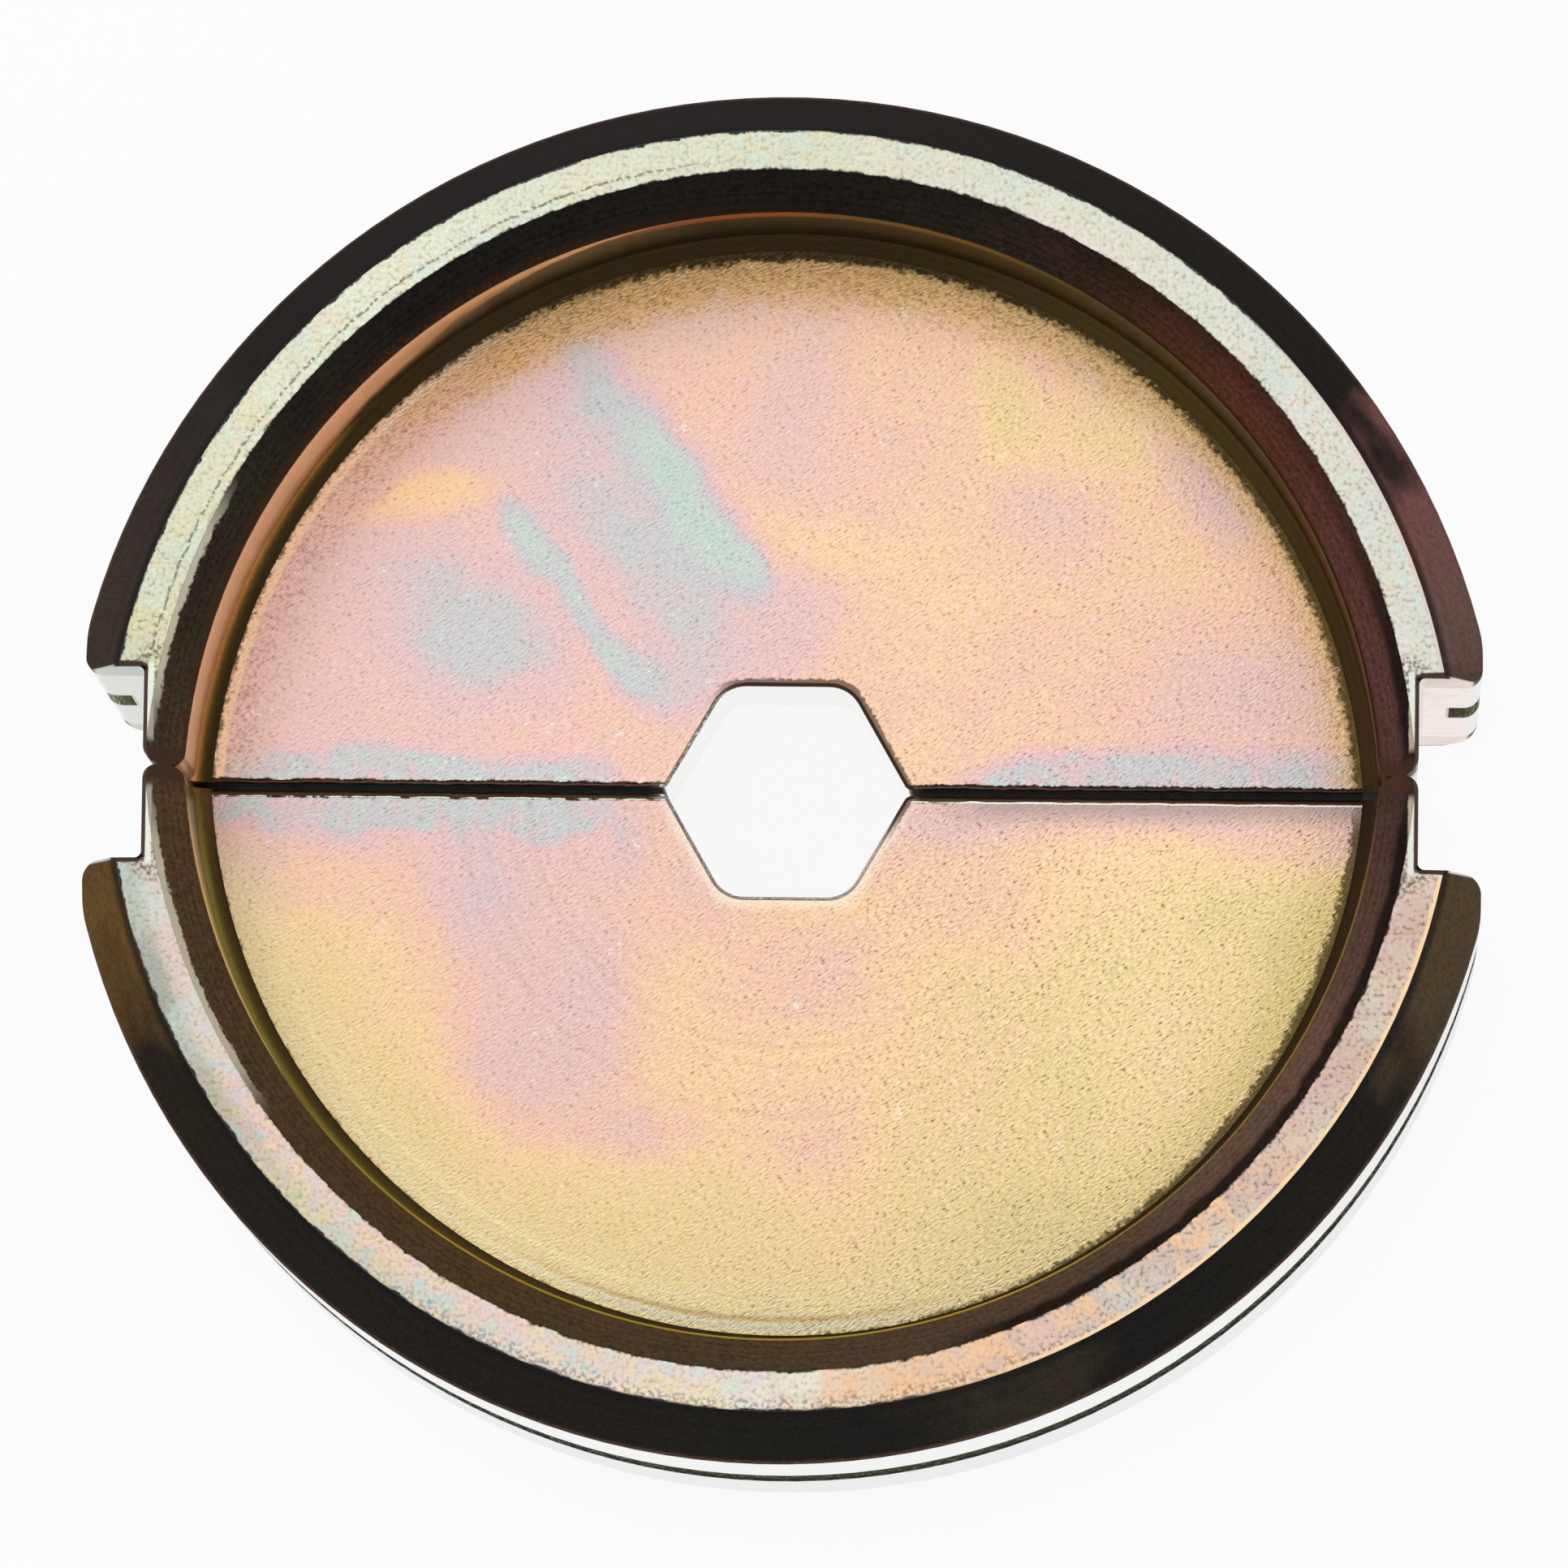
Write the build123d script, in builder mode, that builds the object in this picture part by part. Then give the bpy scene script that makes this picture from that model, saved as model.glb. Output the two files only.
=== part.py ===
"""Hexagonal crimping die: two matching half dies, laid edge to edge.

Each half is less than half of a disc, with a thin web that holds half of the
hexagon and a deep rim round it that seats in the head of a pressing tool.
The pair lies on its rim faces. X runs along the parting line, Y runs across
it, and Z is the axis of the hexagon. All sizes are in millimetres.
"""

from build123d import *
import math
import os

# The crimp profile, in the web's parting edge
hexagon_across_flats = 6.8
hexagon_corner_radius = 1.1
parting_corner_radius = 0.25
web_thickness = 5.0
web_clearance = 0.1
web_edge_break = 0.12
web_corner_chamfer = 0.5

# The rim, which is one arc whose centre lies past the parting plane
rim_thickness = 18.0
outer_radius = 22.9
arc_offset = 1.0
wall_radius = 19.0

# The flat faces of the rim and the slopes on both sides of them
face_outer_radius = 21.4
face_inner_radius = 20.15
outer_slope_height = 2.6
inner_slope_height = 1.5

# The groove that a spring ball in the tool snaps into
groove_width = 2.6
groove_depth = 1.3

# The flanges' ends, with a short flat on each side of the die
side_flat_half_span = 22.23
side_flat_blend_radius = 3.4
flange_corner_radius = 0.55
flange_break_inside = 0.1
flange_break_outside = 0.38

# The notches that leave a narrow lug at each end of the rim
lug_half_span = 20.2
notch_height = 3.05
notch_corner_radius = 0.2
lug_outer_radius = 0.55
lug_inner_radius = 0.5
lug_tip_radius = 0.6
lug_edge_break = 0.14

# Values worked out from the driving dimensions
recess_depth = (rim_thickness - web_thickness) / 2
web_planes = (recess_depth, recess_depth + web_thickness)
rim_planes = (0, rim_thickness)
middle_height = rim_thickness / 2
hexagon_side = hexagon_across_flats / math.sqrt(3)
arc_axis = Axis((0, -arc_offset, 0), (0, 0, 1))
arc_section = Plane.XZ.offset(arc_offset)
beyond = 2 * outer_radius
margin = 1.0
tolerance = 0.01


def reach(radius, height=0):
    """X of the point of one of the rim's arcs at a height above the parting plane."""
    return math.sqrt(radius**2 - (height + arc_offset) ** 2)


def height_at(radius, x):
    """Height above the parting plane of the point of one of the rim's arcs at x."""
    return math.sqrt(radius**2 - x**2) - arc_offset


def corners_at(sketch, x, y):
    """The two corners of a sketch nearest to (x, y) and (-x, y)."""
    spots = (Vector(x, y), Vector(-x, y))
    return [min(sketch.vertices(), key=lambda v: (Vector(v) - spot).length) for spot in spots]


def is_web_face(face):
    """Tell whether a face is one of the two flat faces of the web."""
    on_plane = any(abs(face.center().Z - height) < tolerance for height in web_planes)
    return on_plane and face.geom_type == GeomType.PLANE


def is_wall_edge(edge):
    """Tell whether an edge of a web face lies against the rim's wall."""
    middle = edge @ 0.5
    return abs(math.hypot(middle.X, middle.Y + arc_offset) - wall_radius) < tolerance


def is_parting_edge(edge):
    """Tell whether an edge of a web face is on the parting side or in the hexagon."""
    middle = edge @ 0.5
    along_web = abs(middle.X) < wall_radius - 2 * web_corner_chamfer
    return along_web and middle.Y < hexagon_across_flats / 2 + tolerance


def slope_points(plane_height, face_radius, side_radius, slope_height):
    """Corners of the piece of section cut away between a rim face and a side."""
    inward = 1 if plane_height == 0 else -1
    outside = plane_height - inward * margin
    side_height = plane_height + inward * slope_height
    run_out = (side_radius - face_radius) / slope_height * margin
    past_side = side_radius + math.copysign(margin, side_radius - face_radius)
    return [
        (face_radius - run_out, outside),
        (side_radius, side_height),
        (past_side, side_height),
        (past_side, outside),
    ]


with BuildPart() as upper_die_half:
    # The rim, with its side flats, lugs and notches, through the full thickness
    with BuildSketch() as rim_outline:
        with Locations((0, -arc_offset)):
            Circle(outer_radius)
            Circle(wall_radius, mode=Mode.SUBTRACT)
        Rectangle(2 * side_flat_half_span, beyond, align=(Align.CENTER, Align.MIN), mode=Mode.INTERSECT)
        for side in (Align.MIN, Align.MAX):
            start = lug_half_span if side == Align.MIN else -lug_half_span
            with Locations((start, 0)):
                Rectangle(beyond, notch_height, align=(side, Align.MIN), mode=Mode.SUBTRACT)
        side_flat_end = height_at(outer_radius, side_flat_half_span)
        fillet(corners_at(rim_outline, side_flat_half_span, side_flat_end), side_flat_blend_radius)
        fillet(corners_at(rim_outline, side_flat_half_span, notch_height), flange_corner_radius)
        fillet(corners_at(rim_outline, lug_half_span, notch_height), notch_corner_radius)
        fillet(corners_at(rim_outline, lug_half_span, 0), lug_outer_radius)
        fillet(corners_at(rim_outline, reach(wall_radius), 0), lug_inner_radius)
    extrude(amount=rim_thickness)

    # The web, with half of the hexagon in its parting edge
    with BuildSketch(Plane.XY.offset(recess_depth)) as web_outline:
        with Locations((0, -arc_offset)):
            Circle((wall_radius + face_inner_radius) / 2)
        RegularPolygon(hexagon_across_flats / 2, 6, major_radius=False, mode=Mode.SUBTRACT)
        with Locations((0, web_clearance)):
            Rectangle(beyond, beyond, align=(Align.CENTER, Align.MIN), mode=Mode.INTERSECT)
        fillet(
            corners_at(web_outline, hexagon_side / 2, hexagon_across_flats / 2),
            hexagon_corner_radius,
        )
        fillet(corners_at(web_outline, hexagon_side, web_clearance), parting_corner_radius)
    extrude(amount=web_thickness)
    web_edges = upper_die_half.faces().filter_by(is_web_face).edges()
    chamfer(web_edges.filter_by(is_wall_edge), web_corner_chamfer)
    web_edges = upper_die_half.faces().filter_by(is_web_face).edges()
    chamfer(web_edges.filter_by(is_parting_edge), web_edge_break)

    # The slopes inside and outside the two rim faces
    for plane_height in rim_planes:
        with BuildSketch(arc_section):
            with BuildLine():
                Polyline(
                    slope_points(plane_height, face_outer_radius, outer_radius, outer_slope_height),
                    close=True,
                )
            make_face()
            with BuildLine():
                Polyline(
                    slope_points(plane_height, face_inner_radius, wall_radius, inner_slope_height),
                    close=True,
                )
            make_face()
        revolve(axis=arc_axis, mode=Mode.SUBTRACT)

    # The groove round the middle of the rim
    with BuildSketch(arc_section):
        with Locations((outer_radius - groove_depth, middle_height)):
            Rectangle(groove_depth + margin, groove_width, align=(Align.MIN, Align.CENTER))
    revolve(axis=arc_axis, mode=Mode.SUBTRACT)

    # The rounded tips of the lugs
    with BuildSketch(Plane.YZ):
        Rectangle(lug_tip_radius, rim_thickness, align=Align.MIN)
        straight_height = rim_thickness - 2 * lug_tip_radius
        with Locations((lug_tip_radius, middle_height)):
            SlotCenterToCenter(straight_height, 2 * lug_tip_radius, rotation=90, mode=Mode.SUBTRACT)
    extrude(amount=outer_radius, both=True, mode=Mode.SUBTRACT)

    # The broken edges of the lugs' outer sides
    with BuildSketch(Plane.XZ):
        with Locations((0, middle_height)):
            with GridLocations(2 * lug_half_span, rim_thickness, 2, 2):
                Rectangle(math.sqrt(2) * lug_edge_break, math.sqrt(2) * lug_edge_break, rotation=45)
    extrude(amount=-notch_height, mode=Mode.SUBTRACT)

    # The broken edges of the flange ends, which widen outwards
    for side in (-1, 1):
        for plane_height in rim_planes:
            breaks = ((lug_half_span, flange_break_inside), (outer_radius, flange_break_outside))
            for distance, size in breaks:
                with BuildSketch(Plane.YZ.offset(side * distance)):
                    with Locations((notch_height, plane_height)):
                        Rectangle(math.sqrt(2) * size, math.sqrt(2) * size, rotation=45)
            loft(mode=Mode.SUBTRACT)

upper_die_half.part.label = "upper_die_half"

with BuildPart() as lower_die_half:
    add(upper_die_half.part, rotation=(0, 0, 180))

lower_die_half.part.label = "lower_die_half"

os.makedirs("parts", exist_ok=True)
export_step(upper_die_half.part, "parts/upper_die_half.step")
export_step(lower_die_half.part, "parts/lower_die_half.step")
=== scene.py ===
# %% [markdown]
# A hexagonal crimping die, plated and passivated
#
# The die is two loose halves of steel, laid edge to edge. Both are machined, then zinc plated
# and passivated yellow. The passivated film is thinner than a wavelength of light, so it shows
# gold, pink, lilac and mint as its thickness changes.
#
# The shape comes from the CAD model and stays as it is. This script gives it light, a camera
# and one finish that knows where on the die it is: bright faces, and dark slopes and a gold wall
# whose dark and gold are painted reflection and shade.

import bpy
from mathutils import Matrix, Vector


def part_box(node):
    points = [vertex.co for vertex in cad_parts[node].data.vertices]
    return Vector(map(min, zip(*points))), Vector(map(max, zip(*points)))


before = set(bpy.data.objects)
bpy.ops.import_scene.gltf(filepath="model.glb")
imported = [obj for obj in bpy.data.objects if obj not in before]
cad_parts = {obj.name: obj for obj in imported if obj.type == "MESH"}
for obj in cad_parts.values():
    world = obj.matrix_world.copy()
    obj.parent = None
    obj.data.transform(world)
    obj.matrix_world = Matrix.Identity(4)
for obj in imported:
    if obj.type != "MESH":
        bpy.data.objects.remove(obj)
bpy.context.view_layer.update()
halves = [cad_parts[name] for name in ("upper_die_half", "lower_die_half")]
print("pieces:", [half.name for half in halves])

# %% [markdown]
# Sizes
#
# Blender works in metres, and a die like this is drawn in millimetres. The rim is one arc in
# each half, and its centre lies a little past the parting line. These few radii and heights
# tell the finish where one surface ends and the next begins.

# %% Sizes of the die, in millimetres
MM = 0.001
rim_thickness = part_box("upper_die_half")[1].z / MM
middle_height = rim_thickness / 2
arc_offset = 1.0
outer_radius = 22.9
face_outer_radius = 21.4
face_inner_radius = 20.15
wall_radius = 19.0
corner_radius = 18.5
side_height = 6.4
wall_height = 7.5
corner_height = 3.0
web_height = 2.5
groove_half_width = 1.3
groove_floor_radius = 21.6
notch_height = 3.05
lug_half_span = 20.2
print("rim thickness in mm:", round(rim_thickness, 2))

# %% [markdown]
# The camera
#
# The photograph was taken from far above with a long lens, a little to the lower right, and it
# is turned by half a degree. The far camera is why the rim hides so little of the web. A Track To
# constraint would aim the camera too, but it always keeps it level. Here the camera is placed by
# its own axes, so that the small roll is exact.

# %% The camera
import bpy
import math
from mathutils import Matrix, Vector

photo_side_px = 1932
focal_length_px = 17821
sensor_mm = 36
farthest_seen = 10
camera_place = Vector((16.49, -54.10, 471.96)) * MM
camera_target = Vector((0.153, -0.530, 18.0)) * MM
camera_roll = math.radians(0.55)

lens = bpy.data.cameras.new("camera")
lens.sensor_width = sensor_mm
lens.lens = focal_length_px / photo_side_px * sensor_mm
lens.clip_end = farthest_seen
camera = bpy.data.objects.new("camera", lens)
bpy.context.scene.collection.objects.link(camera)
backward = (camera_place - camera_target).normalized()
level = (Vector((1, 0, 0)) - backward * backward.x).normalized()
upright = backward.cross(level)
right = level * math.cos(camera_roll) + upright * math.sin(camera_roll)
top = upright * math.cos(camera_roll) - level * math.sin(camera_roll)
camera_turn = Matrix((right, top, backward)).transposed().to_4x4()
camera.matrix_world = Matrix.Translation(camera_place) @ camera_turn
bpy.context.scene.camera = camera
bpy.context.scene.view_settings.view_transform = "Standard"
print("lens in mm:", round(lens.lens, 1))

# %% [markdown]
# Stops of a colour ramp
#
# A new colour ramp has two stops, black and white. More can be added by hand in the node. The
# ramps of this finish have up to eighteen, so a helper gives a ramp as many as its list has.

# %% Stops of a colour ramp
def set_stops(colour_ramp, stops):
    """Give a colour ramp its stops, each a position and a colour."""
    elements = colour_ramp.elements
    while len(elements) > len(stops):
        elements.remove(elements[-1])
    while len(elements) < len(stops):
        elements.new(1.0)
    for element, (position, colour) in zip(elements, stops):
        element.position = position
        element.color = colour


print("helper for ramps:", set_stops.__name__)

# %% [markdown]
# Shader maths in plain expressions
#
# A finish that changes over a surface needs a lot of small sums. Made by hand, each is a node
# and two links. Here one small class wraps a socket, so that `1 - mask * 0.5` makes the nodes
# by itself. Colours never pass through these sums, because a Math node turns them grey.

# %% One socket of a node tree
class Tone:
    """An output socket, on which Python's operators stand for Math nodes."""

    def __init__(self, tree, socket=None):
        self.tree = tree
        self.socket = socket

    def node(self, kind, settings=None, inputs=None, output=0):
        """Add a node. Its settings are set first, then its sockets get values or links."""
        made = self.tree.nodes.new(kind)
        for name, value in (settings or {}).items():
            if name == "stops":
                set_stops(made.color_ramp, value)
            else:
                setattr(made, name, value)
        for name, value in (inputs or {}).items():
            if isinstance(value, Tone):
                self.tree.links.new(value.socket, made.inputs[name])
            else:
                made.inputs[name].default_value = value
        return Tone(self.tree, made.outputs[output])

    def output(self, name):
        """Another output of the same node."""
        return Tone(self.tree, self.socket.node.outputs[name])

    def math(self, operation, *values):
        """Add a Math node."""
        return self.node("ShaderNodeMath", {"operation": operation}, dict(enumerate(values)))

    def __add__(self, other):
        return self.math("ADD", self, other)

    def __radd__(self, other):
        return self.math("ADD", other, self)

    def __sub__(self, other):
        return self.math("SUBTRACT", self, other)

    def __rsub__(self, other):
        return self.math("SUBTRACT", other, self)

    def __mul__(self, other):
        return self.math("MULTIPLY", self, other)

    def __rmul__(self, other):
        return self.math("MULTIPLY", other, self)

    def __truediv__(self, other):
        return self.math("DIVIDE", self, other)

    def __abs__(self):
        return self.math("ABSOLUTE", self)


print("helper for sockets:", Tone.__name__)

# %% [markdown]
# Colours and masks
#
# Colours are written as a paint chart gives them, from 0 to 255, and turned into the linear
# values that Blender mixes in. A mask is a number from 0 to 1 that says where a finish lies.
# Soft steps make the masks, because no edge of a plated film is sharp.

# %% Helpers for colours and masks
def paint(red, green, blue):
    """A colour given in display values, as linear light."""
    return tuple(pow((value / 255 + 0.055) / 1.055, 2.4) for value in (red, green, blue)) + (1.0,)


def rise(value, start, end):
    """A soft step from 0 at start to 1 at end, or down again where end is below start."""
    settings = {"interpolation_type": "SMOOTHSTEP"}
    inputs = {"Value": value, "From Min": start, "From Max": end}
    return value.node("ShaderNodeMapRange", settings, inputs)


def band(value, low, high, soft):
    """A mask that is 1 between two values and fades over a soft width at both."""
    return rise(value, low - soft, low + soft) * rise(value, high + soft, high - soft)


def coat(under, mask, top):
    """Lay one colour over another where the mask says."""
    return mask.node("ShaderNodeMix", {"data_type": "RGBA"}, {0: mask, 6: under, 7: top}, 2)


def shade(colour, amount):
    """Darken or lighten a colour by a varying amount around 1."""
    settings = {"data_type": "RGBA", "clamp_factor": False}
    return amount.node("ShaderNodeMix", settings, {0: amount, 6: (0, 0, 0, 1), 7: colour}, 2)


def between(under, mask, top):
    """Move one number towards another where the mask says."""
    return mask.node("ShaderNodeMix", {"data_type": "FLOAT"}, {0: mask, 2: under, 3: top}, 0)


def ramp(value, stops):
    """Turn a number into a colour."""
    return value.node("ShaderNodeValToRGB", {"stops": stops}, {0: value})


print("mid grey as linear light:", [round(channel, 3) for channel in paint(128, 128, 128)[:3]])

# %% [markdown]
# Noise
#
# Grain, flecks, clouds and turning lines are all noise. Pictures of real steel could be mapped on
# too, but noise has no seams, stays sharp at any distance and needs no file. Noise over a single
# number changes only with that number, and so it draws lines.

# %% Helpers for noise
def noise(place, scale, detail, output="Fac"):
    """Cloudy noise. The scale is the number of clouds in one unit of the place."""
    inputs = {"Vector": place, "Scale": scale, "Detail": detail}
    return place.node("ShaderNodeTexNoise", {}, inputs, output)


def lines(value, detail=2.0):
    """Noise that changes along one value only, which draws lines across it."""
    inputs = {"W": value, "Scale": 1.0, "Detail": detail}
    return value.node("ShaderNodeTexNoise", {"noise_dimensions": "1D"}, inputs, "Fac")


def stretched(place, tilt, size):
    """The place turned by a tilt and measured in grains of a size."""
    inputs = {"Vector": place, "Rotation": (0, 0, math.radians(tilt)), "Scale": size}
    return place.node("ShaderNodeMapping", {"vector_type": "TEXTURE"}, inputs)


print("helpers for noise:", noise.__name__, lines.__name__, stretched.__name__)

# %% [markdown]
# Light from all round
#
# The die is photographed on plain white, in soft light from all sides. A picture of a studio
# could give that light, but a plain white world needs no file. Rays from the camera, from glossy
# steel and through glass see it pure white. All other rays see it dimmer, so the background is
# white and the colours of the die aren't washed out.

# %% The world
def seen_directly(tree):
    """A mask that is 1 for rays from the camera, from glossy steel and through glass."""
    path = Tone(tree).node("ShaderNodeLightPath", output="Is Camera Ray")
    return path + path.output("Is Glossy Ray") + path.output("Is Transmission Ray")


sky_light = 0.70
white = (1, 1, 1, 1)
world = bpy.data.worlds.new("soft_studio")
world.use_nodes = True
bpy.context.scene.world = world
sky_strength = sky_light + seen_directly(world.node_tree) * (1 - sky_light)
background = world.node_tree.nodes["Background"]
background.inputs["Color"].default_value = white
world.node_tree.links.new(sky_strength.socket, background.inputs["Strength"])
print("light of the world:", sky_light)

# %% [markdown]
# One large lamp
#
# A square softbox stands high above the upper left. It lights one side of each small bump, and
# that shows the grain. A small lamp or a sun would add hard shadows and glints, which the
# photograph doesn't have. The lamp looks at the die, which lies at the origin.

# %% The lamp
lamp_power = 0.5
lamp_side = 0.35
lamp_place = Vector((-0.22, 0.30, 0.55))
softbox = bpy.data.lights.new("softbox", "AREA")
softbox.energy = lamp_power
softbox.size = lamp_side
lamp = bpy.data.objects.new("softbox", softbox)
bpy.context.scene.collection.objects.link(lamp)
lamp.location = lamp_place
lamp.rotation_euler = lamp_place.to_track_quat("Z", "Y").to_euler()
print("lamp's distance in m:", round(lamp_place.length, 2))

# %% [markdown]
# The floor
#
# The floor is one pale face. Its shader mixes matt white with a glow that only the camera, glossy
# steel and glass see. So it shows nearly white and still takes the die's soft shadow. A shadow
# catcher keeps the shadow too, but only for a picture that is laid over another.

# %% The floor
floor_half_side = 1.5
floor_glow = 0.92
floor_colour = (0.9, 0.9, 0.9, 1)
floor_mesh = bpy.data.meshes.new("floor")
signs = ((-1, -1), (1, -1), (1, 1), (-1, 1))
corners = [(sign_x * floor_half_side, sign_y * floor_half_side, 0) for sign_x, sign_y in signs]
floor_mesh.from_pydata(corners, [], [(0, 1, 2, 3)])
floor = bpy.data.objects.new("floor", floor_mesh)
bpy.context.scene.collection.objects.link(floor)
floor_finish = bpy.data.materials.new("pale_floor")
floor_finish.use_nodes = True
floor_tree = floor_finish.node_tree
matt = Tone(floor_tree).node("ShaderNodeBsdfDiffuse", {}, {"Color": floor_colour})
glow = Tone(floor_tree).node("ShaderNodeEmission", {}, {"Color": white, "Strength": 1.0})
glow_share = seen_directly(floor_tree) * floor_glow
mixed = glow.node("ShaderNodeMixShader", {}, {0: glow_share, 1: matt, 2: glow})
floor_tree.links.new(mixed.socket, floor_tree.nodes["Material Output"].inputs["Surface"])
floor_mesh.materials.append(floor_finish)
print("floor side in m:", 2 * floor_half_side)

# %% [markdown]
# Where a point lies on the die
#
# Every zone of the finish is found from a point's place on the die. `height` is the distance
# from the middle plane of the rim, `radius` is the distance from the axis of the half's own
# arc, and `turn` is the angle about it, from 180 at the left over 90 at the top to 0 at the
# right, and negative in the lower half. The back gets the front's pattern turned half way
# round. A material for each surface would do as well, but then every face has to be sorted to
# its own. A place needs nothing but the sizes above, and one finish can cross an edge.

# %% Place on the die
steel = bpy.data.materials.new("yellow_passivated_zinc")
steel.use_nodes = True
tree = steel.node_tree
here = Tone(tree).node("ShaderNodeTexCoord", output="Object")
place = here.node("ShaderNodeMapping", {}, {"Vector": here, "Scale": (1 / MM, 1 / MM, 1 / MM)})
x = place.node("ShaderNodeSeparateXYZ", {}, {0: place})
y, z = x.output("Y"), x.output("Z")
height = abs(z - middle_height)
face_side = z.math("SIGN", z - middle_height)
u, v = x * face_side, y * face_side
across, along = abs(u), abs(v)
half_side = z.math("SIGN", v)
arc_y = along + arc_offset
radius = z.math("SQRT", u * u + arc_y * arc_y)
turn = z.math("ARCTAN2", arc_y * half_side, u) * math.degrees(1)
in_upper = rise(half_side, -0.5, 0.5)
print("nodes for the place on the die:", len(tree.nodes))

# %% [markdown]
# The grain that every surface shares
#
# A few kinds of noise serve the whole die, each at its own size: clouds of a few millimetres,
# flecks under one, fine grain of a tenth, short dashes, and lines that run round with the
# turning tool. Each surface could have noise of its own. Sharing keeps the finish quick to render.

# %% Clouds, flecks, grain and turning lines
clouds_per_mm = 0.38
flecks_per_mm = 1.5
grains_per_mm = 7.0
rings_per_mm = 9.0
rounds_per_mm = 7.0
turn_sway = 24
clouds = noise(place, clouds_per_mm, 2.0, "Color")
cloud_a = clouds.node("ShaderNodeSeparateColor", {}, {0: clouds})
cloud_b, cloud_c = cloud_a.output("Green"), cloud_a.output("Blue")
flecks = noise(place, flecks_per_mm, 3.0)
fine = noise(place, grains_per_mm, 2.0)
dash_tilt = 32
dash_size = (0.16, 0.07, 0.1)
dashes = noise(stretched(place, dash_tilt, dash_size), 1.0, 1.0)
turning = lines(radius * rings_per_mm + height * rounds_per_mm + flecks)
uneven_turn = turn + (cloud_a - 0.5) * turn_sway
print("nodes with the shared noise:", len(tree.nodes))

# %% [markdown]
# The film's colours
#
# Light that bounces off the top and the bottom of the film adds up or cancels, colour by
# colour, so each thickness has one colour. The ramp runs through them in the order in which
# they follow each other on the die: straw, gold, peach, pink, lilac, grey blue, mint. One
# number per point, the thickness, then paints the whole web, and neighbouring colours are
# always the right ones. The Principled shader has a thin film of its own, but that can't be
# baked into a picture when the model is exported, so a ramp paints it.

# %% Ramp from the film's thickness to its colour
film_colours = (
    (0.00, paint(222, 206, 148)),
    (0.12, paint(240, 214, 160)),
    (0.28, paint(250, 212, 167)),
    (0.42, paint(243, 202, 178)),
    (0.55, paint(236, 197, 190)),
    (0.65, paint(229, 196, 195)),
    (0.78, paint(205, 203, 204)),
    (0.90, paint(202, 213, 206)),
    (1.00, paint(194, 214, 200)),
)
print("colours in the film:", len(film_colours))

# %% [markdown]
# Patches where the film is thicker or thinner
#
# The film ran and dried in patches, streaks and drips. Each patch below is a soft ellipse, and
# later the clouds bend it, so that no outline is a true ellipse. One cloudy noise alone would
# put its patches anywhere, but here each lies where the real one does. On the upper half a mint
# streak runs down towards the hexagon, with pink and lilac at its left and gold at its right.

# %% Patches on the upper half
upper_patches = (
    # centre x and y, half width along the tilt, half length across it, all four in mm
    # then the tilt in degrees, the film's thickness from 0 to 1, and the softness of the edge
    (-14.6, 4.5, 6.0, 6.8, 0, 0.58, 0.5),
    (-7.6, 10.9, 3.4, 2.9, 0, 0.62, 0.6),
    (-4.6, 8.2, 2.0, 3.4, 35, 0.76, 0.6),
    (-6.4, 13.5, 0.8, 2.4, 12, 0.72, 0.8),
    (-3.5, 9.8, 0.8, 3.0, 35, 1.00, 0.9),
    (-1.9, 7.5, 0.6, 1.4, 35, 0.92, 0.8),
    (-2.0, 4.9, 2.0, 1.6, 0, 0.76, 0.8),
    (-3.8, 3.3, 1.3, 1.0, 0, 0.76, 0.7),
    (-8.3, 8.1, 0.5, 1.6, 35, 0.94, 0.9),
    (-6.9, 6.2, 0.4, 1.6, 35, 0.86, 0.9),
    (-5.1, 4.0, 0.5, 1.4, 35, 0.86, 0.8),
    (-10.2, 5.3, 2.9, 2.1, -20, 0.80, 0.7),
    (-11.7, 9.4, 2.2, 0.7, 12, 0.27, 0.6),
    (0.2, 12.4, 1.4, 2.2, 0, 0.57, 0.9),
    (1.9, 7.8, 3.3, 0.9, -20, 0.30, 0.9),
    (7.1, 11.8, 0.8, 1.9, 12, 0.12, 0.8),
    (8.8, 8.9, 1.6, 1.6, 0, 0.50, 1.0),
    (10.2, 11.6, 2.6, 1.3, 0, 0.20, 0.9),
    (13.4, 9.8, 0.8, 1.8, 35, 0.55, 0.9),
    (14.6, 3.1, 3.4, 2.0, 0, 0.56, 0.9),
    (-0.2, 5.3, 1.6, 1.3, 0, 0.62, 0.8),
)
print("patches on the upper half:", len(upper_patches))

# %% [markdown]
# Patches on the lower half
#
# The lower half is mostly gold. A lilac streak runs down from the parting line at the left of the
# hexagon, and towards the rim the film thins to straw. The rows read as those above.

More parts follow.
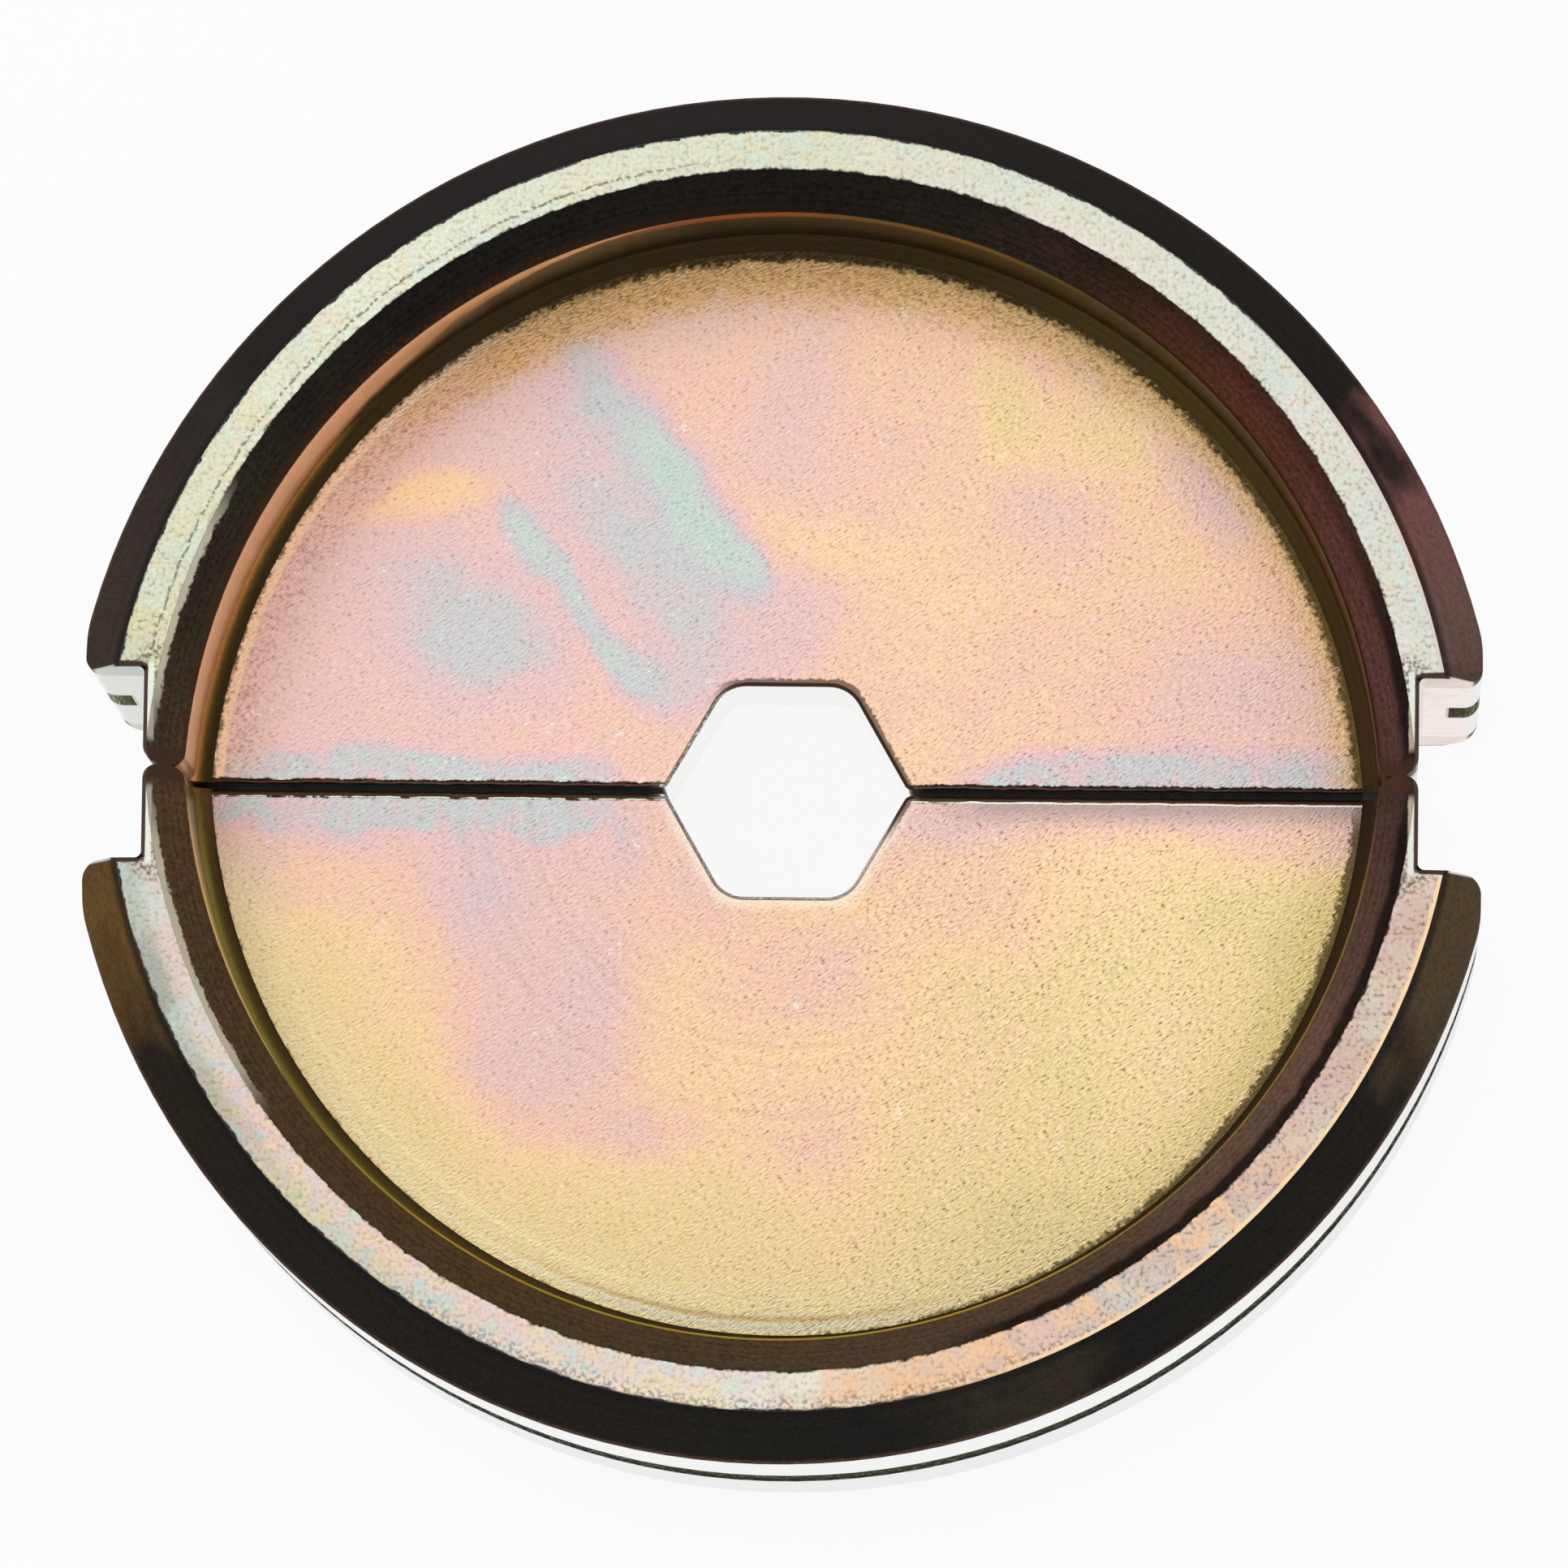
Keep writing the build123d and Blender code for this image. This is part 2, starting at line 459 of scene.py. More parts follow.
# %% Patches on the lower half
lower_patches = (
    (-10.1, -1.9, 0.7, 1.1, 0, 0.80, 0.7),
    (-5.1, -1.9, 0.6, 1.1, 0, 0.78, 0.7),
    (-17.6, -2.2, 1.2, 2.2, 0, 0.52, 0.8),
    (-14.3, -3.0, 1.8, 0.8, 0, 0.36, 0.7),
    (-14.2, -7.6, 2.6, 2.1, 35, 0.17, 0.8),
    (-12.0, -10.9, 2.6, 2.1, 35, 0.12, 0.8),
    (-8.1, -5.1, 3.1, 4.2, 0, 0.58, 0.9),
    (-9.6, -3.2, 1.3, 1.6, 0, 0.66, 0.8),
    (-6.6, -7.3, 1.2, 2.5, 12, 0.62, 0.9),
    (-8.4, -8.9, 2.1, 1.8, 0, 0.57, 0.8),
    (-5.1, -11.0, 1.8, 1.2, 0, 0.53, 0.8),
    (-3.3, -3.0, 1.6, 1.6, 0, 0.50, 0.9),
    (-4.4, -15.3, 6.8, 2.4, 0, 0.14, 0.8),
    (5.1, -1.0, 1.6, 0.6, 0, 0.62, 0.9),
    (11.1, -0.8, 3.9, 0.5, 0, 0.58, 0.9),
    (16.6, -1.4, 2.0, 1.0, 0, 0.60, 0.8),
    (7.2, -3.6, 2.6, 1.6, 0, 0.44, 0.9),
    (1.0, -5.8, 2.9, 1.6, 0, 0.42, 0.9),
    (1.3, -11.0, 1.7, 1.6, 0, 0.42, 1.0),
    (11.2, -8.3, 4.2, 4.7, 35, 0.14, 0.9),
    (17.0, -6.2, 1.6, 3.9, 12, 0.03, 0.9),
    (2.1, -17.0, 6.8, 0.8, 0, 0.06, 0.9),
)
print("patches on the lower half:", len(lower_patches))

# %% [markdown]
# The film's thickness
#
# The ground comes first: peach and pink in the upper half, gold in the lower. Then each patch
# moves the thickness towards its own. A patch could turn the space by its own tilt, but that
# takes many nodes. Four tilts serve all the patches, and the space is measured along each tilt
# only once, so a patch adds a scaled vector, its length and a soft step.

# %% The film's thickness on the web
bend_reach = 1.3
bent = z.node("ShaderNodeCombineXYZ", {}, {
    0: u + (cloud_a - 0.5) * bend_reach,
    1: v + (cloud_b - 0.5) * bend_reach,
    2: 1.0,
})


def tilted_space(tilt):
    """The directions along a tilt and across it, and the bent space measured in them."""
    ahead = Vector((math.cos(math.radians(tilt)), math.sin(math.radians(tilt)), 0))
    aside = Vector((-ahead.y, ahead.x, 0))
    shares = [
        bent.node("ShaderNodeVectorMath", {"operation": "DOT_PRODUCT"}, {0: bent, 1: axis}, "Value")
        for axis in (ahead, aside)
    ]
    return ahead, aside, bent.node("ShaderNodeCombineXYZ", {}, {0: shares[0], 1: shares[1]})


spaces = {tilt: tilted_space(tilt) for tilt in (0, 12, 35, -20)}


def patch_mask(centre_x, centre_y, half_width, half_length, tilt, softness):
    """A soft ellipse, from the distance to its centre in units of its half axes."""
    ahead, aside, space = spaces[tilt]
    centre = Vector((centre_x, centre_y, 0))
    units = (1 / half_width, 1 / half_length, 0)
    offset = (-centre.dot(ahead) / half_width, -centre.dot(aside) / half_length, 0)
    inputs = {0: space, 1: units, 2: offset}
    from_centre = space.node("ShaderNodeVectorMath", {"operation": "MULTIPLY_ADD"}, inputs)
    distance = space.node("ShaderNodeVectorMath", {"operation": "LENGTH"}, {0: from_centre}, "Value")
    return rise(distance, 1.1 + softness, 0.9 - softness)


upper_ground = 0.48 - rise(u, -4, 7) * 0.12
lower_ground = 0.28 + rise(along, 4.5, 1.0) * 0.24 - rise(u, 0, 13) * 0.18 - rise(along, 9, 17) * 0.14
film = between(lower_ground, in_upper, upper_ground)
for *ellipse, thickness, softness in upper_patches + lower_patches:
    film = between(film, patch_mask(*ellipse, softness), thickness)
print("nodes after the patches:", len(tree.nodes))

# %% [markdown]
# The edge where the bath drained off
#
# Along the parting line both halves carry a pale blue edge, because the film is thick there. It
# is wider on the left of the lower half and hangs down from the line in drips. Patches would
# look placed, so the clouds set how far it reaches. At the end the clouds and flecks make the
# whole film uneven, and the ramp turns its thickness into colour.

# %% The pale blue edge along the parting line
upper_reach = between(0.1 + cloud_b * 2.0 - rise(u, -6, -3) * 0.4, rise(u, 5, 9), 1.4)
lower_reach = 0.2 + rise(u, -1, -6) * (cloud_b * 2.3)
edge_reach = between(lower_reach, in_upper, upper_reach)
drained = rise(along - edge_reach, 0.5, -0.4)
beside_hexagon = rise(across, 4.5, 7.0)
drained_film = 0.80 + (flecks - 0.5) * (0.5 - rise(u, 6, 10) * 0.3)
film = between(film, drained * beside_hexagon * 0.9, drained_film)
film = film + (cloud_c - 0.5) * 0.22 + (flecks - 0.5) * 0.12
web_colour = ramp(film, film_colours)
print("nodes for the web's film:", len(tree.nodes))

# %% [markdown]
# The border of the web in the upper half
#
# A cutter went round the foot of the wall last. In the upper half it left a rough, browner band.
# Its width is a distance from the corner, and the flecks make its edge ragged. Its pits could be
# modelled, but they are a tenth of a millimetre wide, so fine grain and dashes paint them.

# %% The border of the upper half
ragged = (flecks - 0.5) * 0.9 + (fine - 0.5) * 0.25
from_corner = corner_radius - radius
from_left = rise(uneven_turn, 118, 150)
from_top = rise(uneven_turn, 62, 92)
rough_width = 0.9 + 0.9 * rise(turn, 30, 90) - 0.3 * from_left
rough = rise(from_corner + ragged, rough_width + 0.5, rough_width - 0.9) * in_upper
rough_tone = coat(paint(244, 202, 140), from_top, paint(236, 190, 124))
rough_tone = coat(rough_tone, from_left, paint(236, 200, 190))
pits = rise(fine + (dashes - 0.5) * 0.3, 0.54, 0.34)
pit_tone = coat(paint(182, 138, 80), from_left, paint(182, 148, 142))
web_colour = coat(web_colour, rough * (0.85 - 0.25 * from_left), rough_tone)
web_colour = coat(web_colour, rough * pits * 0.5, pit_tone)
olive_strip = band(from_corner, 0.05, 0.30, 0.15) * (1 - from_left) * in_upper
web_colour = coat(web_colour, olive_strip * (0.5 + 0.5 * pits), paint(140, 118, 54))
bright_strip = band(from_corner, -0.02, 0.36, 0.06) * rise(turn, 112, 136)
web_colour = coat(web_colour, bright_strip, paint(252, 218, 188))
print("nodes with the upper border:", len(tree.nodes))

# %% [markdown]
# The border of the web in the lower half
#
# Here the cutter left a smooth, paler band with bright turning lines. Near the bottom a mint line
# is a painted highlight, with a brown line beside it. Noise over the radius would draw such lines
# all the way round. Each of these is a band of the distance from the corner, and a soft band of the
# turn fades it out at both ends, as on the real die.

# %% The border of the lower half
smooth = rise(from_corner + ragged * 0.5, 2.4, 0.4) * (1 - in_upper) * rise(along, 1.0, 4.0)
smooth_straw = coat(paint(244, 226, 174), rise(turn, -85, -30), paint(230, 208, 142))
web_colour = coat(web_colour, smooth * 0.75, smooth_straw)
cutter_lines = band(from_corner, 0.22, 0.42, 0.08) + band(from_corner, 0.95, 1.10, 0.08)
cutter_turns = (1 - in_upper) * band(turn, -150, -100, 15)
web_colour = coat(web_colour, cutter_lines * cutter_turns * 0.6, paint(250, 236, 196))
mint_turns = (1 - in_upper) * band(turn, -112, -78, 10)
brown_line = band(from_corner + ragged * 0.2, 0.42, 0.60, 0.08) * mint_turns
web_colour = coat(web_colour, brown_line * 0.5, paint(168, 134, 80))
# Painted highlight: a mint line near the bottom of the lower border.
mint_highlight = band(from_corner + ragged * 0.15, 0.14, 0.34, 0.06) * mint_turns
web_colour = coat(web_colour, mint_highlight * 0.65, paint(216, 218, 196))
print("nodes with the lower border:", len(tree.nodes))

# %% [markdown]
# Grain of the web
#
# Seen close, the blasted steel under the film has short dark dashes and bright specks, about a
# tenth of a millimetre long. Without them the web looks like coloured plastic. They are partly the
# steel's own marks and partly the shade and glints of its bumps, and bump alone hardly shows in
# soft light, so they are painted too: the dashes as marks and painted shade, the specks as painted
# glints. The dashes are noise that is stretched one way, and a speck is where two noises are high
# at once. The dashes are strongest at the right. In the lower half faint arcs round the hexagon
# show that the web was turned.

# %% Dashes and specks
grain_depth = 0.55 + rise(u, -4, 9) * 0.30 + rise(u, -9, 5) * (1 - in_upper) * 0.30
grain = 0.97 + (dashes - 0.5) * grain_depth * 0.85 + (fine - 0.5) * 0.30
grain = grain + (rise(u, 6, 12) * 0.07 - 0.035) * (1 - in_upper)
from_hexagon = z.math("SQRT", u * u + v * v)
arcs_per_mm = 3.2
arc_lines = lines(from_hexagon * arcs_per_mm, 1.0)
arcs = (arc_lines - 0.5) * (1 - in_upper) * band(from_hexagon, 5.0, 11.0, 1.5) * 0.16
web_colour = shade(web_colour, grain + arcs)
dash_mask = rise(dashes + (fine - 0.5) * 0.5, 0.38, 0.22) * grain_depth
web_colour = coat(web_colour, dash_mask * 0.65, paint(128, 96, 66))
speck_mask = rise(fine, 0.62, 0.70) * rise(flecks, 0.58, 0.66)
web_colour = coat(web_colour, speck_mask * 0.8, paint(240, 236, 230))
print("nodes with the grain:", len(tree.nodes))

# %% [markdown]
# The dark foot of the wall
#
# Where the wall meets the web, a dark ragged line runs round. Real shade is too weak there, as the
# studio light comes from all sides, so the line is painted. It is widest at the top and at the
# right, and nearly gone at the bottom.

# %% The dark foot of the wall
foot_reach = 0.12 + 0.18 * band(turn, 66, 112, 22) - 0.06 * rise(turn, 118, 140)
foot_reach = foot_reach + 0.16 * band(turn, -52, 46, 16) - 0.14 * rise(turn, -66, -90)
foot_rag = (fine - 0.5) * 0.5 + (flecks - 0.5) * 0.3
foot = rise(from_corner + foot_rag, foot_reach + 0.08, foot_reach - 0.12)
foot_tone = coat(paint(84, 70, 30), band(turn, 40, 140, 20), paint(50, 42, 24))
web_colour = coat(web_colour, foot * 0.9, foot_tone)
print("nodes with the foot of the wall:", len(tree.nodes))

# %% [markdown]
# The parting line
#
# The edges along the parting line are broken. In the upper half the break and the gap are
# painted black as shade, with a thin pink line. In the lower half the gap is painted dark brown as
# shade, the break is brown, and a fine white line below it is a painted highlight; at the right a
# grey band of painted shade lies under that. The breaks are real faces, but lines this fine need
# more than light, so each is a band of the distance from the parting plane. A little sway keeps
# them from being ruled lines.

# %% Lines along the parting line
line_sway = (flecks - 0.5) * 0.10
line_rag = (fine - 0.5) * 0.16
from_line = along + line_sway
beside_bore = rise(across, 3.85, 3.95)
upper_cover = rise(from_line + line_rag, 0.30, 0.24) * in_upper * beside_bore
lower_cover = rise(from_line + line_rag * 0.5, 0.36, 0.33) * (1 - in_upper) * beside_bore
# Painted shade: black in the upper break and gap, dark brown by the gap in the lower half.
upper_lines = coat(paint(34, 27, 24), band(from_line, 0.15, 0.20, 0.02), paint(150, 112, 98))
lower_lines = coat(paint(58, 42, 28), band(from_line, 0.17, 0.22, 0.03), paint(112, 82, 52))
# Painted highlight: a fine white line below the lower break.
white_highlight_line = band(from_line, 0.29, 0.33, 0.02) * rise(flecks + fine * 0.4, 0.60, 0.72)
white_highlight_line = white_highlight_line + rise(u, 4, 6) * band(from_line, 0.28, 0.34, 0.02)
lower_lines = coat(lower_lines, white_highlight_line, paint(236, 236, 226))
# Painted shade: a grey band below the parting line at the right of the lower half.
shade_below_line = rise(from_line, 1.3, 0.35) * (1 - in_upper) * rise(u, 4, 7)
web_colour = coat(web_colour, shade_below_line * 0.75, paint(168, 150, 146))
web_colour = coat(web_colour, upper_cover, upper_lines)
web_colour = coat(web_colour, lower_cover, lower_lines)
print("nodes with the parting lines:", len(tree.nodes))

# %% [markdown]
# The edge of the hexagon
#
# The hexagon has a dark edge at its top and right, and a finer one with a pale halo below. Its
# polished bore mirrors the light. The distance to each of its six flats could be worked out, but
# its quarters are alike, so two do: to the flat at the top and to the slanted one. The larger of
# the two is the distance from the bore, and a smooth maximum rounds the corner between them.

# %% The edge of the hexagon
hexagon_half_height = 3.48
slant = math.radians(30)
corner_softness = 0.88
slanted = across * math.cos(slant) + along * math.sin(slant)
from_bore = along.math("SMOOTH_MAX", along, slanted, corner_softness) - hexagon_half_height
halo = rise(from_bore + (flecks - 0.5) * 0.3, 0.45, 0.05) * rise(v, 1.0, -1.5)
web_colour = coat(web_colour, halo * 0.6, paint(246, 236, 214))
heavy_edge = rise(u * 1.6 + v * 2.0, 1, 5)
# The web is darker along the bore's top and right edges.
dark_border_of_bore = rise(from_bore + line_rag * 1.4, 0.20, 0.12) * heavy_edge
web_colour = coat(web_colour, dark_border_of_bore * 0.85, paint(92, 74, 58))
bore_tone = coat(paint(150, 138, 124), heavy_edge, paint(78, 62, 49))
line_depth = 0.03 + heavy_edge * 0.10
in_bore = rise(from_bore, 0.13, 0.11) * rise(height, web_height - 0.005, web_height - 0.015)
in_bore = in_bore * rise(along, 0.11, 0.13)
past_line = rise(height, web_height - line_depth + 0.01, web_height - line_depth - 0.01)
bore_tone = coat(bore_tone, past_line, paint(255, 255, 255))
web_colour = coat(web_colour, in_bore, bore_tone)
bore_shine = in_bore * past_line
print("nodes with the web's edges:", len(tree.nodes))

# %% [markdown]
# The rim faces
#
# The flat rim faces are turned bright. Their film runs from pale green cream at the upper left to
# grey at the right, and in the lower half from grey green through mint and peach to pink. A
# radial Gradient Texture turns round one axis only, and here each half has its own. The turn
# is known already, so one ramp over it paints the faces, and each stop is an angle.

# %% Film of the rim faces
full_turn = 360


def at(angle):
    """Position on a ramp over the full turn, from -180 to 180 degrees."""
    return angle / full_turn + 0.5


rim_colours = (
    (at(-180), paint(176, 176, 164)),
    (at(-150), paint(156, 168, 158)),
    (at(-128), paint(196, 208, 184)),
    (at(-112), paint(222, 224, 208)),
    (at(-100), paint(234, 230, 212)),
    (at(-90), paint(234, 242, 236)),
    (at(-80), paint(238, 208, 180)),
    (at(-70), paint(230, 195, 180)),
    (at(-58), paint(212, 196, 190)),
    (at(-46), paint(214, 188, 176)),
    (at(-14), paint(214, 182, 166)),
    (at(0), paint(226, 222, 208)),
    (at(14), paint(220, 224, 214)),
    (at(50), paint(224, 226, 214)),
    (at(90), paint(214, 219, 192)),
    (at(130), paint(224, 229, 206)),
    (at(165), paint(214, 213, 178)),
    (at(180), paint(198, 198, 172)),
)
rim_ramp_place = uneven_turn / full_turn + 0.5
rim_face = ramp(rim_ramp_place, rim_colours)
print("nodes with the rim's film:", len(tree.nodes))

# %% [markdown]
# Pale tints on the rim faces
#
# Over the ramp lie pale tints: pink along the inner half of the face, mint and cream in patches
# everywhere, and peach at the lower right. A ramp alone would look like a rainbow. The clouds
# that already bend the web's patches choose where each tint lies, and the flecks break its edge.

# %% Pale tints on the rim faces
rim_middle = (face_inner_radius + face_outer_radius) / 2
inner_half = rise(radius + (flecks - 0.5) * 0.8, rim_middle + 0.3, rim_middle - 0.3)
pink_fringe = inner_half * (band(turn, 8, 80, 12) * 0.2 + band(turn, -172, -110, 10) * 0.7)
rim_face = coat(rim_face, pink_fringe, paint(240, 214, 206))
mint_patch = rise(cloud_c + (flecks - 0.5) * 0.4, 0.46, 0.68)
rim_face = coat(rim_face, mint_patch * 0.5, paint(204, 224, 212))
cream_patch = rise(cloud_b - (flecks - 0.5) * 0.4, 0.50, 0.70)
rim_face = coat(rim_face, cream_patch * 0.4, paint(238, 222, 190))
peach_streak = rise(cloud_a + (flecks - 0.5) * 0.8, 0.44, 0.66) * band(turn, -88, -40, 8)
pastel = 0.5 + (flecks - 0.5) * 2.4 + (cloud_b - 0.5) * 1.6
pastel_tint = ramp(pastel, film_colours)
rim_face = coat(rim_face, band(turn, -150, -84, 10) * 0.35 + 0.08, pastel_tint)
rim_face = coat(rim_face, peach_streak * 0.8, paint(246, 200, 156))
print("nodes with the rim faces:", len(tree.nodes))

# %% [markdown]
# Dirt and scratches on the rim faces
#
# Dirt has settled in the dents of these faces, mostly near the flanges and at the lower right,
# and a ragged line follows the inner edge at the upper left. Dirt that is mixed in evenly looks
# like a tint, so it lies only where both the flecks and the fine grain are low.

# %% Dirt and scratches on the rim faces
dirty_turns = 0.25 + 0.25 * rise(turn, 150, 174) + 0.30 * band(turn, -66, -5, 10)
dirty_turns = dirty_turns + 0.10 * band(turn, 5, 50, 10) + 0.05 * rise(turn, -100, -170)
dents = rise(fine, 0.47, 0.33) * rise(flecks, 0.66, 0.46)
rim_face = coat(rim_face, dents * dirty_turns, paint(104, 98, 86))
lower_dirt = rise(radius + (flecks - 0.5) * 1.2, face_outer_radius - 0.5, face_outer_radius - 0.1)
lower_dirt = lower_dirt * band(turn, -125, -60, 10)
rim_face = coat(rim_face, lower_dirt * rise(fine, 0.56, 0.42) * 0.5, paint(96, 88, 80))
scratch_middle = radius - face_inner_radius + (flecks - 0.5) * 0.25
scratches = band(scratch_middle, 0.30, 0.36, 0.05)
scratch_turns = band(turn, 98, 172, 8) * rise(fine, 0.62, 0.48)
rim_face = coat(rim_face, scratches * scratch_turns * 0.9, paint(62, 58, 46))
rim_face = shade(rim_face, 0.94 + (fine - 0.5) * (0.22 + dirty_turns * 0.5) + (flecks - 0.5) * 0.18)
print("nodes with the dirt on the rim:", len(tree.nodes))

# %% [markdown]
# The edges of the rim faces
#
# The edges are worn uneven, and a thin dark line of painted shade follows them. At the right and
# the lower right the outer edge is clean and carries a fine gold line, a painted highlight. A Bevel
# node finds edges too, but it is slow and finds every edge. Here two radii give the edges, and
# noise on the radius wears them.

# %% Edges of the rim faces
worn = (flecks - 0.5) * 0.28 + (fine - 0.5) * 0.14
clean_line = band(turn, -72, 40, 8)
# Painted shade: a thin dark line along the worn edges of the rim faces.
outer_edge = rise(radius + worn * (1 - clean_line * 0.8), face_outer_radius - 0.07, face_outer_radius)
wide_turns = band(turn, 153, 172, 4) + band(turn, -172, -146, 4)
inner_edge = rise(radius + worn, face_inner_radius + 0.07, face_inner_radius - 0.02) * (1 - wide_turns)
inner_edge = inner_edge * rise(along, notch_height, notch_height + 0.3)
# Painted highlight: a fine gold line on the clean outer edge.
gold_edge_highlight = rise(radius + worn * 0.5, face_outer_radius - 0.15, face_outer_radius - 0.09) * clean_line
edge_highlight_tone = coat(paint(250, 220, 172), rise(turn, -10, 4), paint(222, 202, 194))
rim_face = coat(rim_face, outer_edge * (1 - clean_line) + inner_edge, paint(44, 41, 36))
rim_face = coat(rim_face, gold_edge_highlight * 0.85, edge_highlight_tone)
print("nodes with the marks on the rim:", len(tree.nodes))

# %% [markdown]
# The outside and its groove
#
# The round outside is turned. It is painted nearly white, a painted highlight that is whitest at
# the bottom and light grey round the rest, with pastel streaks of the same film near the flanges.
# The groove that the spring ball snaps into is olive grey, painted dark near its outer edge as
# shade inside the groove. The streaks could be clouds, but a turned surface shows its film in
# lines, so noise along one value draws them.

# %% The outside
side_film = 0.62 + (lines(turn * 0.25 + height * 0.4) - 0.5) * 1.6
side_tint = ramp(side_film, film_colours)
side_share = (0.16 + (fine - 0.5) * 0.12) * rise(across, 12, lug_half_span)
# Painted highlight: the outside is painted nearly white, whitest at the bottom and light grey round
# the rest.
side_colour = coat(paint(252, 253, 253), side_share, side_tint)
side_colour = coat(side_colour, 0.75 - band(turn, -140, -40, 20) * 0.75, paint(228, 231, 228))
side_colour = shade(side_colour, 1.0 + (turning - 0.5) * 0.16)
# Painted shade: the groove is painted dark near its outer edge.
groove_edge = rise(radius, outer_radius - 0.11, outer_radius - 0.07)
groove_colour = coat(paint(140, 138, 104), groove_edge, paint(46, 42, 36))
groove_colour = shade(groove_colour, 0.7 + turning * 0.6)
in_groove = rise(height, groove_half_width + 0.05, groove_half_width - 0.02)
in_groove = in_groove * rise(radius, groove_floor_radius - 0.15, groove_floor_radius - 0.05)
side_colour = coat(side_colour, in_groove, groove_colour)
print("nodes with the outside:", len(tree.nodes))

# %% [markdown]
# The flanges' ends
#
# Beside each lug the rim ends in a milled flat. It is light grey at the left and pale pink at the
# right, and its edges are painted dark as shade. It could be picked by its normal, but the lugs'
# tips face the same way. Its place is plain: outside the lug, and no further from the middle than
# the notch.

# %% Flange ends
beside_lug = rise(across, lug_half_span + 0.02, lug_half_span + 0.06)
on_end = rise(along, notch_height + 0.10, notch_height + 0.02) * beside_lug
end_colour = coat(paint(202, 206, 197), rise(x, -1, 1), paint(248, 231, 222))
end_colour = coat(end_colour, rise(flecks, 0.48, 0.60) * rise(x, -1, 1) * 0.4, side_tint)
end_colour = shade(end_colour, 1.0 + (fine - 0.5) * 0.25)
side_colour = coat(side_colour, on_end * (1 - in_groove), end_colour)
# Painted shade: the break at the flange's end is painted dark.
end_bevel = rise(along + worn * 0.3, notch_height + 0.20, notch_height + 0.12) * beside_lug
corner_shade = rise(across - lug_half_span + along - notch_height, 0.9, 0.3)
corner_shade = corner_shade * rise(along, notch_height + 0.9, notch_height + 0.5)
rim_face = coat(rim_face, corner_shade * rise(fine, 0.60, 0.40) * 0.7, paint(96, 90, 78))
print("nodes with the flanges' ends:", len(tree.nodes))

# %% [markdown]
# The lugs
#
# The narrow lugs carry the rim face on to the parting line. A dark edge of painted shade and a
# pale thread that is a painted highlight run along their outer sides, and their rounded tips are
# brown. The breaks of these edges are real faces, but soft light hardly shows them, so bands of the
# distance across the die draw them.

# %% Lugs
on_lug = rise(along, notch_height + 0.16, notch_height + 0.04)
# Painted shade: the breaks at the lugs' sides and the flanges' ends are painted dark.
lug_edge = rise(across + worn * 0.3, lug_half_span - 0.13, lug_half_span - 0.08) * on_lug
rim_face = coat(rim_face, end_bevel + lug_edge, paint(72, 58, 50))
# Painted highlight: a pale thread along the lug's outer side.
lug_highlight = band(across + worn * 0.4, lug_half_span - 0.32, lug_half_span - 0.14, 0.03)
lug_highlight = lug_highlight * band(along, 0.75, notch_height + 0.2, 0.15)
lug_highlight_tone = paint(226, 230, 216)
rim_face = coat(rim_face, lug_highlight, lug_highlight_tone)
lug_tip = rise(along + (flecks - 0.5) * 0.5, 0.62, 0.42)
rim_face = coat(rim_face, lug_tip, paint(84, 66, 46))
print("nodes with the lugs:", len(tree.nodes))

# %% [markdown]
# The bright surfaces together
#
# The rim faces and the outside can share one shader, since both are turned bright. A step of
# the height tells the faces from the sides, and a second one finds the small break between them,
# which is painted dark as shade. The step is crisp, because the edge of a turned face is.

# %% The bright surfaces together
crisp = 0.005
is_face = rise(height, middle_height - 3 * crisp, middle_height - crisp)
# Painted shade: the small break at the top of the outside is painted dark.
is_break = rise(height, middle_height - 0.30, middle_height - 0.25)
bright_colour = coat(side_colour, is_break, paint(72, 56, 48))
bright_colour = coat(bright_colour, is_face, rim_face)
near_tip = lug_tip * rise(height, side_height, wall_height)
bright_colour = coat(bright_colour, near_tip, paint(76, 58, 46))
print("nodes with the bright surfaces:", len(tree.nodes))

# %% [markdown]
# The outer slope
#
# The slope that leads the die into its seat mirrors a dark side of the studio, so it looks nearly
# black, with brown and purple towards the flanges at both sides. A thick film may do that, or a
# dark side of the studio: one picture can't tell. A dark studio would darken the rest of the die
# too, so a ramp over the turn paints that reflection on the slope: painted reflection, darker
# beside the rim face and brown along the outer edge. The shared turning lines run round it.

# %% The outer slope
# Painted reflection: the dark, brown and purple that the outer slope mirrors.
outer_slope_reflection_colours = (
    (at(-180), paint(92, 68, 48)),
    (at(-163), paint(106, 80, 44)),
    (at(-150), paint(44, 38, 32)),
    (at(-80), paint(34, 33, 31)),
    (at(-69), paint(52, 46, 38)),
    (at(-60), paint(34, 32, 30)),
    (at(-32), paint(38, 35, 31)),
    (at(-20), paint(82, 68, 50)),
    (at(0), paint(86, 72, 54)),
    (at(8), paint(80, 62, 56)),
    (at(16), paint(106, 82, 76)),
    (at(28), paint(122, 82, 78)),
    (at(36), paint(38, 33, 31)),
    (at(90), paint(38, 33, 31)),
    (at(136), paint(38, 33, 31)),
    (at(160), paint(64, 53, 48)),
    (at(180), paint(70, 59, 53)),
)
outer_slope = ramp(rim_ramp_place, outer_slope_reflection_colours)
# Painted reflection: darker beside the rim face and brown along the outer edge.
next_to_face = rise(radius, face_outer_radius + 0.32, face_outer_radius + 0.12)
outer_slope = coat(outer_slope, next_to_face * 0.75, paint(30, 29, 28))
at_rim_edge = rise(radius + (fine - 0.5) * 0.06, outer_radius - 0.14, outer_radius - 0.03)
outer_slope = coat(outer_slope, at_rim_edge * 0.6, paint(96, 72, 64))
outer_slope = shade(outer_slope, 0.25 + turning * 0.4 + fine * 1.1)
print("nodes with the outer slope:", len(tree.nodes))

